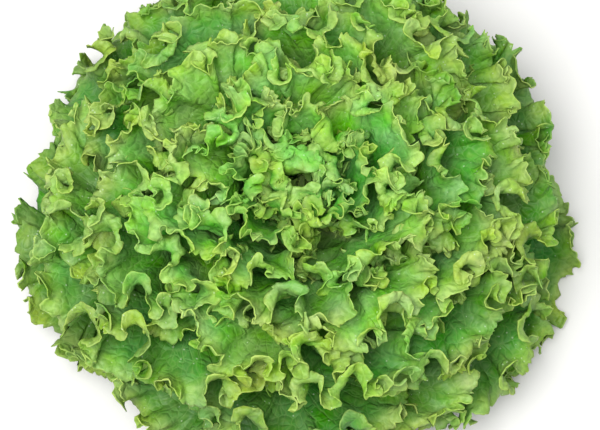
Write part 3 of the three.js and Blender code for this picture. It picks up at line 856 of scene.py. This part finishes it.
class Shading:
    """A node tree, with short ways to add the nodes used here."""

    def __init__(self, tree):
        self.tree = tree

    def feed(self, socket, value):
        if isinstance(value, bpy.types.NodeSocket):
            self.tree.links.new(value, socket)
        elif socket.type == "RGBA" and len(value) == 3:
            socket.default_value = (*value, 1)
        else:
            socket.default_value = value

    def node(self, kind, inputs=None, **settings):
        made = self.tree.nodes.new(kind)
        for name, value in settings.items():
            setattr(made, name, value)
        self.feed_all(made, inputs or {})
        return made

    def feed_all(self, node, inputs):
        for name, value in inputs.items():
            self.feed(node.inputs[name], value)

    def math(self, operation, *values, clamped=False):
        made = self.node("ShaderNodeMath", dict(enumerate(values)), operation=operation, use_clamp=clamped)
        return made.outputs[0]

    def vector(self, operation, *values):
        return self.node("ShaderNodeVectorMath", dict(enumerate(values)), operation=operation).outputs

    def times(self, first, second):
        return self.math("MULTIPLY", first, second)

    def scaled(self, value, factor, offset):
        return self.math("MULTIPLY_ADD", value, factor, offset)

    def rest(self, value):
        return self.math("SUBTRACT", 1.0, value)

    def mask(self, value, low, high):
        """0 where the value is low, 1 where it is high, and smooth between."""
        inputs = {"Value": value, "From Min": low, "From Max": high}
        return self.node("ShaderNodeMapRange", inputs, interpolation_type="SMOOTHSTEP").outputs["Result"]

    def mix(self, factor, start, end):
        made = self.node("ShaderNodeMix", data_type="RGBA")
        sockets = {socket.identifier: socket for socket in made.inputs}
        self.feed(sockets["Factor_Float"], factor)
        self.feed(sockets["A_Color"], start)
        self.feed(sockets["B_Color"], end)
        return next(socket for socket in made.outputs if socket.identifier == "Result_Color")

    def noise(self, place, size, detail=2):
        """Cloudy noise with spots of about the given size."""
        inputs = {"Vector": place, "Scale": 0.5 / size, "Detail": detail}
        return self.node("ShaderNodeTexNoise", inputs).outputs["Fac"]

    def cells(self, place, size, feature):
        inputs = {"Vector": place, "Scale": 1 / size}
        return self.node("ShaderNodeTexVoronoi", inputs, feature=feature).outputs["Distance"]

    def bump(self, height, strength, distance):
        inputs = {"Height": height, "Strength": strength, "Distance": distance}
        return self.node("ShaderNodeBump", inputs).outputs["Normal"]

    def object_place(self):
        return self.node("ShaderNodeTexCoord").outputs["Object"]

    def arrange(self):
        """Sets the nodes out in columns, each node left of those it feeds."""
        column = {node: 0 for node in self.tree.nodes}
        for _ in self.tree.nodes:
            for link in self.tree.links:
                column[link.from_node] = max(column[link.from_node], column[link.to_node] + 1)
        filled = {}
        for node, place in column.items():
            row = filled[place] = filled.get(place, -1) + 1
            node.location = (-220 * place, -260 * row)


def new_group(name, inputs, outputs):
    tree = bpy.data.node_groups.new(name, "ShaderNodeTree")
    for label, kind in inputs.items():
        tree.interface.new_socket(label, in_out="INPUT", socket_type=kind)
    for label, kind in outputs.items():
        tree.interface.new_socket(label, in_out="OUTPUT", socket_type=kind)
    return tree


def new_material(name):
    """A material, the shading of its node tree, and its Principled BSDF."""
    material = bpy.data.materials.new(name)
    material.use_nodes = True
    return material, Shading(material.node_tree), material.node_tree.nodes["Principled BSDF"]


COLOUR, VALUE, VECTOR = "NodeSocketColor", "NodeSocketFloat", "NodeSocketVector"
TISSUE_COLOURS = {
    "Outer blade": "old_blade_and_painted_shade", "Young blade": "young_blade", "Lip": "lip",
    "Rim": "rim", "Vein": "vein", "Grain and painted shade": "grain_and_painted_shade",
}
TISSUE_VALUES = ("Age", "Tint", "Out", "Along", "Across")


def leaf_tissue_group():
    """Colour, roughness and relief of leaf tissue, from the blade's own attributes."""
    inputs = dict.fromkeys(TISSUE_COLOURS, COLOUR) | dict.fromkeys(TISSUE_VALUES, VALUE)
    inputs |= {"Position": VECTOR, "Blade map": VECTOR}
    tree = new_group("Leaf tissue", inputs, {"Color": COLOUR, "Roughness": VALUE, "Height": VALUE})
    shading = Shading(tree)
    mix, mask, noise = shading.mix, shading.mask, shading.noise
    times, scaled, rest = shading.times, shading.scaled, shading.rest
    given = shading.node("NodeGroupInput").outputs
    place, out, tint = given["Position"], given["Out"], given["Tint"]
    patches = noise(place, 0.011, 2)
    grain = noise(place, 0.0012, 2)

    # Older leaves turn to the outer blade colour: partly their own darker green, partly painted shade on the
    # head's outer slopes.
    aged = scaled(patches, 0.5, scaled(tint, 0.4, given["Age"]))
    blade = mix(mask(aged, 0.45, 1.45), given["Young blade"], given["Outer blade"])
    uneven = scaled(tint, -0.3, patches)
    lip = times(mask(out, 0.7, 0.96), mask(uneven, 0.0, 0.5))
    # Painted shade: older, outer leaves get less of the lighter lip.
    lip = times(lip, scaled(given["Age"], -0.3, 0.95))
    blade = mix(lip, blade, given["Lip"])
    flecks = times(lip, mask(noise(place, 0.0028, 3), 0.5, 0.75))
    blade = mix(times(flecks, 0.4), blade, given["Rim"])
    # Painted shade: the blade darkens from the rim in towards the midrib, more on older leaves, standing in
    # for the shade in the hollows between the frills.
    inside = rest(mask(out, 0.3, 0.9))
    inside = times(inside, scaled(given["Age"], 0.4, 0.25))
    blade = mix(inside, blade, given["Grain and painted shade"])

    grown = mask(given["Age"], 0.02, 0.3)
    hue = scaled(grown, -0.013, 0.466)
    hue = scaled(noise(place, 0.02, 1), 0.1, hue)
    hue = scaled(times(tint, lip), -0.016, hue)
    # Young leaves are lighter: partly their own paler colour, partly painted light in the heart, which the
    # leaves around it shade.
    young = scaled(grown, -0.22, 0.98)
    bright = scaled(noise(place, 0.005, 2), 0.48, young)
    strong = scaled(noise(place, 0.0075, 2), 0.7, 0.66)
    inputs = {"Hue": hue, "Saturation": strong, "Value": bright, "Color": blade}
    blade = shading.node("ShaderNodeHueSaturation", inputs).outputs["Color"]

    sway = shading.node("ShaderNodeTexNoise", {"Vector": place, "Scale": 120.0, "Detail": 1}).outputs["Color"]
    swayed = shading.vector("MULTIPLY_ADD", sway, (0.005,) * 3, place)[0]
    net = shading.cells(swayed, 0.0052, "DISTANCE_TO_EDGE")
    threads = rest(mask(net, 0.0, 0.09))
    blade = mix(times(threads, 0.13), blade, given["Vein"])
    # Painted highlight: the middles of the vein net's cells, the blisters' tops, are lightened towards the
    # lip colour, more towards the rim.
    painted_blister_highlight = times(mask(net, 0.12, 0.5), mask(out, 0.3, 0.9))
    blade = mix(times(painted_blister_highlight, 0.3), blade, given["Lip"])
    dark_grain = times(mask(grain, 0.4, 0.75), 0.3)
    blade = mix(dark_grain, blade, given["Grain and painted shade"])

    parts = shading.node("ShaderNodeSeparateXYZ", {0: given["Blade map"]}).outputs
    ray = times(scaled(patches, 0.02, parts["X"]), 46.0)
    line = rest(mask(shading.math("PINGPONG", ray, 0.5), 0.0, 0.11))
    veined = times(line, rest(mask(out, 0.4, 0.95)))
    width = shading.math("MAXIMUM", scaled(given["Along"], -5.0, 4.5), 0.7)
    beside = shading.math("DIVIDE", shading.math("ABSOLUTE", given["Across"]), width)
    rib = shading.math("SUBTRACT", 1.0, beside, clamped=True)
    rib = times(rib, rest(mask(given["Along"], 0.35, 0.8)))
    foot = rest(mask(given["Along"], 0.02, 0.4))
    pale = shading.math("MAXIMUM", times(veined, 0.12), times(rib, 0.75))
    pale = shading.math("MAXIMUM", pale, times(foot, 0.6))
    blade = mix(pale, blade, given["Vein"])

    # The thin pale line along the rim is partly the leaf's paler margin, partly a painted highlight along the
    # edge.
    edge = times(mask(out, 0.985, 1.0), mask(patches, 0.15, 1.1))
    blade = mix(edge, blade, given["Rim"])
    # Painted highlights: sparse pale specks, the glints of small water drops on the blade.
    painted_droplet_glints = shading.math("LESS_THAN", shading.cells(place, 0.003, "F1"), 0.16)
    painted_droplet_glints = times(painted_droplet_glints, shading.math("GREATER_THAN", noise(place, 0.0025, 0), 0.58))
    blade = mix(times(painted_droplet_glints, 0.4), blade, (0.72, 0.82, 0.6))

    puckered = times(mask(net, -0.08, 0.42), 0.9)
    relief = scaled(grain, 0.3, puckered)
    relief = scaled(veined, -0.4, relief)
    rough = scaled(grain, 0.25, 0.36)
    shading.node("NodeGroupOutput", {"Color": blade, "Roughness": rough, "Height": relief})
    shading.arrange()
    return tree


def leaf_material(name, tissue, colours, relief, glow):
    """A leaf's finish: the tissue's colour, with a little of the light from behind let through."""
    material, shading, skin = new_material(name)
    inputs = {label: getattr(colours, colour) for label, colour in TISSUE_COLOURS.items()}
    for label in TISSUE_VALUES:
        inputs[label] = shading.node("ShaderNodeAttribute", attribute_name=label.lower()).outputs["Fac"]
    inputs["Position"] = shading.object_place()
    inputs["Blade map"] = shading.node("ShaderNodeUVMap", uv_map="blade").outputs["UV"]
    group = shading.node("ShaderNodeGroup", node_tree=tissue)
    shading.feed_all(group, inputs)
    tissue_colour, rough, height = (group.outputs[name] for name in ("Color", "Roughness", "Height"))
    shading.feed_all(skin, {"Base Color": tissue_colour, "Roughness": rough, "Specular IOR Level": 0.32})
    shading.feed(skin.inputs["Normal"], shading.bump(height, relief, 0.001))
    through = shading.node("ShaderNodeBsdfTranslucent", {"Color": tissue_colour})
    both = shading.node("ShaderNodeMixShader", {0: glow, 1: skin.outputs[0], 2: through.outputs[0]})
    shading.feed(material.node_tree.nodes["Material Output"].inputs["Surface"], both.outputs[0])
    shading.arrange()
    return material


def stem_material(colours):
    """Pale skin with fibres up the stem, and a cut face with a darker ring under the skin."""
    material, shading, skin = new_material("Stem skin and cut")
    place = shading.object_place()
    fibres = shading.noise(shading.vector("MULTIPLY", place, (1, 1, 0.12))[0], 0.0012, 3)
    patches = shading.noise(place, 0.005)
    level = shading.vector("MULTIPLY", place, (1, 1, 0))[0]
    radius = shading.vector("LENGTH", level)["Value"]
    height = shading.node("ShaderNodeSeparateXYZ", {0: place}).outputs["Z"]
    on_cut = shading.rest(shading.mask(height, 0.0003, 0.0012))
    ring = shading.times(shading.mask(radius, 0.0095, 0.0125), patches)
    skin_colour = shading.mix(fibres, colours.stem, colours.vein)
    cut_colour = shading.mix(ring, colours.cut, (0.42, 0.30, 0.14))
    painted = shading.mix(on_cut, skin_colour, cut_colour)
    bumps = shading.bump(fibres, 0.4, 0.0008)
    shading.feed_all(skin, {"Base Color": painted, "Normal": bumps, "Roughness": 0.5})
    shading.arrange()
    return material


# Rings and steps round of the stem's skin, how deep its leaf scars are in millimetres, and its unevenness:
# share of the radius, waves round the stem, and phase.
STEM_RINGS = 12
STEM_STEPS = 72
SCAR_DEPTH = 0.35
STEM_WAVES = ((0.02, 3, 1), (0.012, 7, 0))


class LETTUCE_OT_stem(bpy.types.Operator):
    """Model the stem: a stump cut flat below, with leaf scars, narrowing inside the leaves' feet"""

    bl_idname = "lettuce.stem"
    bl_label = "Stem"

    def execute(self, context):
        profile = [
            (0, 0), (STEM_RADIUS - 1.5, 0), (STEM_RADIUS - 0.6, 0.5), (STEM_RADIUS - 0.3, 1.2),
            (STEM_RADIUS, STEM_SHOULDER * 0.6), (STEM_RADIUS - STEM_CLEARANCE, STEM_SHOULDER),
        ]
        top = (STEM_TOP_RADIUS - STEM_CLEARANCE, STEM_HEIGHT)
        shoulder = profile[-1]
        for ring in range(1, STEM_RINGS + 1):
            share = ring / STEM_RINGS
            scar = SCAR_DEPTH * (ring % 2) * (1 - share)
            profile.append((lerp(shoulder[0], top[0], share) - scar, lerp(shoulder[1], top[1], share)))
        profile.append((0, STEM_HEIGHT + 1.5))
        stem = bmesh.new()
        points = [stem.verts.new((radius * MM, 0, height * MM)) for radius, height in profile]
        edges = [stem.edges.new(pair) for pair in zip(points, points[1:])]
        bmesh.ops.spin(
            stem, geom=points + edges, axis=(0, 0, 1), cent=(0, 0, 0),
            angle=2 * math.pi, steps=STEM_STEPS, use_merge=True)
        bmesh.ops.remove_doubles(stem, verts=stem.verts, dist=SAME_POINT)
        for vertex in stem.verts:
            angle = math.atan2(vertex.co.y, vertex.co.x)
            uneven = 1
            for share, waves, phase in STEM_WAVES:
                uneven -= share * (1 + math.sin(waves * angle + phase))
            vertex.co.x *= uneven
            vertex.co.y *= uneven
        bmesh.ops.recalc_face_normals(stem, faces=stem.faces)
        mesh = finished_mesh("stem_skin", stem)
        shade_smooth(mesh)
        mesh.set_sharp_from_angle(angle=math.radians(50))
        add_piece("stem_skin", mesh, stem_material(context.scene.lettuce_colours), "stem")
        return {"FINISHED"}


class LETTUCE_OT_leaves(bpy.types.Operator):
    """Model the loose leaves and the heart, each leaf a frilled blade laid on the ones below"""

    bl_idname = "lettuce.leaves"
    bl_label = "Leaves and heart"

    def execute(self, context):
        shape = context.scene.lettuce_shape
        colours = context.scene.lettuce_colours
        loose, young = all_leaves()
        sheet, young_sheet = leaf_sheet(LOOSE_RAYS), leaf_sheet(YOUNG_RAYS)
        tissue = leaf_tissue_group()
        loose_finish = leaf_material("Loose leaf", tissue, colours, relief=0.55, glow=0.22)
        young_finish = leaf_material("Young leaf", tissue, colours, relief=0.45, glow=0.4)
        for index, leaf in enumerate(loose):
            name = f"loose_leaf_{index + 1:02d}"
            mesh = leaf_mesh(leaf, sheet, shape, name)
            thicken(add_piece(name, mesh, loose_finish, f"leaf_{index + 1:02d}"), shape)
        joined = bmesh.new()
        parts = [leaf_mesh(leaf, young_sheet, shape, "young_leaf") for leaf in young]
        for part in parts:
            joined.from_mesh(part)
        mesh = finished_mesh("heart_leaves", joined)
        thicken(add_piece("heart_leaves", mesh, young_finish, "heart"), shape)
        for spare in (*parts, sheet, young_sheet):
            bpy.data.meshes.remove(spare)
        return {"FINISHED"}


# Point that the camera and the lights are aimed at, and the width that the picture covers there.
AIM = Vector((0.002, -0.004, 0.045))
PICTURE_WIDTH = 600 * 0.525 * MM
SENSOR_WIDTH = 36
# Name, place, size and share of the key light's power of each light.
LIGHTS = (("key", (-0.35, -0.25, 1.3), 1.0, 1), ("fill", (0.9, 0.5, 0.8), 0.9, 0.2))
SKY = (0.94, 0.97, 1, 1)
SKY_STRENGTH = 0.38


def aim(thing, direction):
    thing.rotation_euler = direction.to_track_quat("-Z", "Y").to_euler()


class LETTUCE_OT_stage(bpy.types.Operator):
    """Set up the pale floor, the soft lights and the camera above the head"""

    bl_idname = "lettuce.stage"
    bl_label = "Stage"

    def execute(self, context):
        stage = context.scene.lettuce_stage
        floor = bmesh.new()
        bmesh.ops.create_grid(floor, x_segments=1, y_segments=1, size=2)
        mesh = finished_mesh("floor", floor)
        material, shading, paint = new_material("Floor")
        shading.feed_all(paint, {"Base Color": stage.floor, "Roughness": 0.9})
        mesh.materials.append(material)
        placed("floor", mesh)

        for name, place, size, share in LIGHTS:
            light = bpy.data.lights.new(name, "AREA")
            light.size = size
            light.energy = stage.key_power * share
            lamp = placed(name, light)
            lamp.location = place
            aim(lamp, AIM - Vector(place))
        world = bpy.data.worlds.new("Sky")
        context.scene.world = world
        world.use_nodes = True
        sky = world.node_tree.nodes["Background"]
        sky.inputs["Color"].default_value = SKY
        sky.inputs["Strength"].default_value = SKY_STRENGTH
        context.scene.view_settings.view_transform = "Standard"

        elevation = stage.camera_elevation
        back = Vector((0, -math.cos(elevation), math.sin(elevation)))
        camera = bpy.data.cameras.new("camera")
        camera.sensor_width = SENSOR_WIDTH
        camera.lens = SENSOR_WIDTH * stage.camera_distance / PICTURE_WIDTH
        eye = placed("camera", camera)
        eye.location = AIM + back * stage.camera_distance
        aim(eye, -back)
        context.scene.camera = eye
        return {"FINISHED"}


class LETTUCE_PT_panel(bpy.types.Panel):
    bl_idname = "LETTUCE_PT_panel"
    bl_label = "Lettuce"
    bl_space_type = "VIEW_3D"
    bl_region_type = "UI"
    bl_category = "Lettuce"

    def draw(self, context):
        for operator in OPERATORS:
            self.layout.operator(operator.bl_idname)
        for name in SETTINGS:
            box = self.layout.box()
            group = getattr(context.scene, name)
            for setting in group.__annotations__:
                box.prop(group, setting)


SETTINGS = {"lettuce_shape": LettuceShape, "lettuce_colours": LettuceColours, "lettuce_stage": LettuceStage}
OPERATORS = (LETTUCE_OT_stem, LETTUCE_OT_leaves, LETTUCE_OT_stage)
CLASSES = (*SETTINGS.values(), *OPERATORS, LETTUCE_PT_panel)


def register():
    for part in CLASSES:
        bpy.utils.register_class(part)
    for name, group in SETTINGS.items():
        setattr(bpy.types.Scene, name, PointerProperty(type=group))


def unregister():
    for name in SETTINGS:
        delattr(bpy.types.Scene, name)
    for part in reversed(CLASSES):
        bpy.utils.unregister_class(part)


def main():
    register()
    bpy.ops.lettuce.stem()
    bpy.ops.lettuce.leaves()
    bpy.ops.lettuce.stage()


if __name__ == "__main__":
    main()
